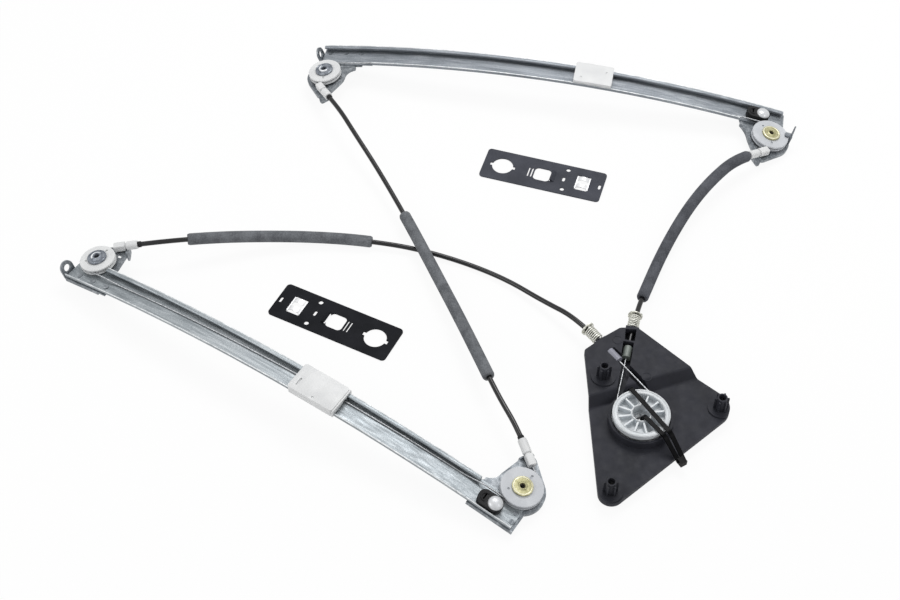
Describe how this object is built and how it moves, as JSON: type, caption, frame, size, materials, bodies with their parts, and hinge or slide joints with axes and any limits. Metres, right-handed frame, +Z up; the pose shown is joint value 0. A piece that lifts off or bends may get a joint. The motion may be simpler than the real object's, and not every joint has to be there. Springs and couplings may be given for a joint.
{
  "type": "window regulator",
  "caption": "Cable window regulator: arched guide rails with sliders and end pulleys, driven through Bowden conduits by a drum in a moulded motor plate.",
  "frame": {"origin": "on the cable drum's axis, level with the bottom of the motor plate's well and of the surface that the set lies on", "axes": "+Z up along the drum's axis, +X towards the rails' lower ends, +Y from rail 1 to rail 2"},
  "size_m": [0.7619, 0.6248, 0.046],
  "materials": {
    "galvanised_steel": "galvanised sheet, dull with bright edges",
    "black_plastic": "fine matte moulded",
    "tie_plastic": "glossy",
    "clear_nylon": "satin translucent",
    "white_plastic": "satin moulded",
    "grey_plastic": "satin moulded",
    "yellow_zinc": "yellow zinc plated",
    "cable_steel": "stranded, greased",
    "spring_steel": "drawn wire",
    "rubber": "matt",
    "conduit_skin": "extruded sheath",
    "foam": "closed-cell foam",
    "coated_sheet": "black phosphated"
  },
  "bodies": {
    "frame": {"motor_plate": "black_plastic", "retaining_tie": "tie_plastic", "tension_spring_a": "spring_steel", "spring_cap_a": "spring_steel", "plate_ferrule_a": "grey_plastic", "drum_cable_a": "cable_steel", "tension_spring_b": "spring_steel", "spring_cap_b": "spring_steel", "plate_ferrule_b": "grey_plastic", "drum_cable_b": "cable_steel", "rail_1": "galvanised_steel", "rail_1_rivets": "galvanised_steel", "rail_1_cable": "cable_steel", "buffer_1": "rubber", "buffer_pin_1": "galvanised_steel", "glass_clip_plate_1": "coated_sheet", "glass_clip_spring_1": "galvanised_steel", "rail_2": "galvanised_steel", "rail_2_rivets": "galvanised_steel", "rail_2_cable": "cable_steel", "buffer_2": "rubber", "buffer_pin_2": "galvanised_steel", "glass_clip_plate_2": "coated_sheet", "glass_clip_spring_2": "galvanised_steel", "rail_1_lower_bracket": "galvanised_steel", "rail_1_lower_pulley_pin": "yellow_zinc", "rail_1_lower_cable_fitting": "white_plastic", "rail_1_upper_bracket": "galvanised_steel", "rail_1_upper_pulley_pin": "galvanised_steel", "rail_1_upper_cable_fitting": "white_plastic", "rail_2_lower_bracket": "galvanised_steel", "rail_2_lower_pulley_pin": "yellow_zinc", "rail_2_lower_cable_fitting": "white_plastic", "rail_2_upper_bracket": "galvanised_steel", "rail_2_upper_pulley_pin": "galvanised_steel", "rail_2_upper_cable_fitting": "white_plastic", "conduit_a": "conduit_skin", "sleeve_a": "foam", "conduit_b": "conduit_skin", "sleeve_b": "foam", "conduit_c": "conduit_skin", "sleeve_c": "foam"},
    "drum": {"cable_drum": "clear_nylon", "wound_cable": "cable_steel"},
    "slider_1_body": {"slider_1": "white_plastic", "slider_1_nipples": "cable_steel"},
    "slider_2_body": {"slider_2": "white_plastic", "slider_2_nipples": "cable_steel"},
    "rail_1_lower_pulley_body": {"rail_1_lower_pulley": "grey_plastic"},
    "rail_1_upper_pulley_body": {"rail_1_upper_pulley": "white_plastic"},
    "rail_2_lower_pulley_body": {"rail_2_lower_pulley": "grey_plastic"},
    "rail_2_upper_pulley_body": {"rail_2_upper_pulley": "white_plastic"}
  },
  "joints": [
    {"name": "drum_spin", "type": "hinge", "parent": "frame", "child": "drum", "pos_m": [0, 0, 0.017], "axis": [0, 0, 1], "range_deg": [-500.91, 297.34]},
    {"name": "slider_1_travel", "type": "hinge", "parent": "frame", "child": "slider_1_body", "pos_m": [-0.35241, 0.05097, -1.36384], "axis": [0.546, 0.8378, 0], "range_deg": [-8.98, 5.34]},
    {"name": "slider_2_travel", "type": "hinge", "parent": "frame", "child": "slider_2_body", "pos_m": [-0.08973, 0.4507, -1.36384], "axis": [0.1901, 0.9818, 0], "range_deg": [-8.98, 5.34]},
    {"name": "rail_1_lower_pulley_spin", "type": "hinge", "parent": "frame", "child": "rail_1_lower_pulley_body", "pos_m": [-0.11245, -0.07496, 0.01501], "axis": [0.1606, -0.1046, 0.9815], "range_deg": [-709.17, 421.88]},
    {"name": "rail_1_upper_pulley_spin", "type": "hinge", "parent": "frame", "child": "rail_1_upper_pulley_body", "pos_m": [-0.52901, 0.18635, 0.02354], "axis": [-0.1358, 0.0885, 0.9868], "range_deg": [-799.22, 475.46]},
    {"name": "rail_2_lower_pulley_spin", "type": "hinge", "parent": "frame", "child": "rail_2_lower_pulley_body", "pos_m": [0.16963, 0.37093, 0.01501], "axis": [0.1882, -0.0364, 0.9815], "range_deg": [-421.88, 709.17]},
    {"name": "rail_2_upper_pulley_spin", "type": "hinge", "parent": "frame", "child": "rail_2_upper_pulley_body", "pos_m": [-0.31635, 0.46301, 0.02306], "axis": [-0.1592, 0.0308, 0.9868], "range_deg": [-475.46, 799.22]}
  ],
  "couplings": [
    {"joint": "slider_1_travel", "follows": "drum_spin", "ratio": 0.017867},
    {"joint": "slider_2_travel", "follows": "drum_spin", "ratio": 0.017867},
    {"joint": "rail_1_lower_pulley_spin", "follows": "drum_spin", "ratio": 1.4113},
    {"joint": "rail_1_upper_pulley_spin", "follows": "drum_spin", "ratio": 1.5905},
    {"joint": "rail_2_lower_pulley_spin", "follows": "drum_spin", "ratio": -1.4113},
    {"joint": "rail_2_upper_pulley_spin", "follows": "drum_spin", "ratio": -1.5905}
  ]
}
